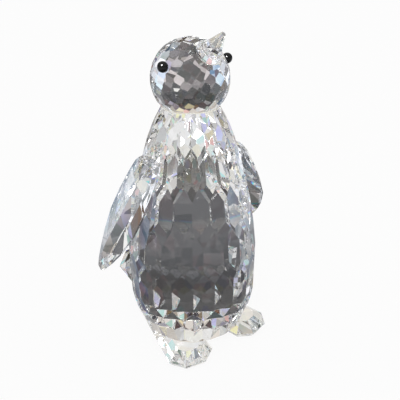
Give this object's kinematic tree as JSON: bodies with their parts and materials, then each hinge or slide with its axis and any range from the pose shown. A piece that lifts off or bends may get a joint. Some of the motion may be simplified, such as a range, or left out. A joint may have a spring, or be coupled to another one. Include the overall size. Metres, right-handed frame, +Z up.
{
  "type": "penguin figurine",
  "caption": "Standing penguin figurine of cut crystal: faceted barrel body, ball head with a raised beak, black bead eyes, leaf-shaped wings, flat feet and a tail.",
  "frame": {"origin": "on the ground, at the middle of the whole figurine's footprint box", "axes": "+Z up; the penguin faces -Y, its left side is +X and its tail points to +Y"},
  "size_m": [0.0536, 0.0498, 0.0855],
  "materials": {
    "crystal": "clear, cut in flat facets and polished",
    "bead": "polished black",
    "cement": "clear set adhesive with small bubbles"
  },
  "bodies": {
    "root": {"body": "crystal", "head": "crystal", "beak": "crystal", "wing_right": "crystal", "wing_left": "crystal", "foot_left": "crystal", "foot_right": "crystal", "tail": "crystal", "eye_right": "bead", "eye_left": "bead", "neck_cement": "cement", "beak_cement": "cement", "wing_cement_right": "cement", "wing_cement_left": "cement", "foot_cement_left": "cement", "foot_cement_right": "cement", "tail_cement": "cement"}
  },
  "joints": []
}
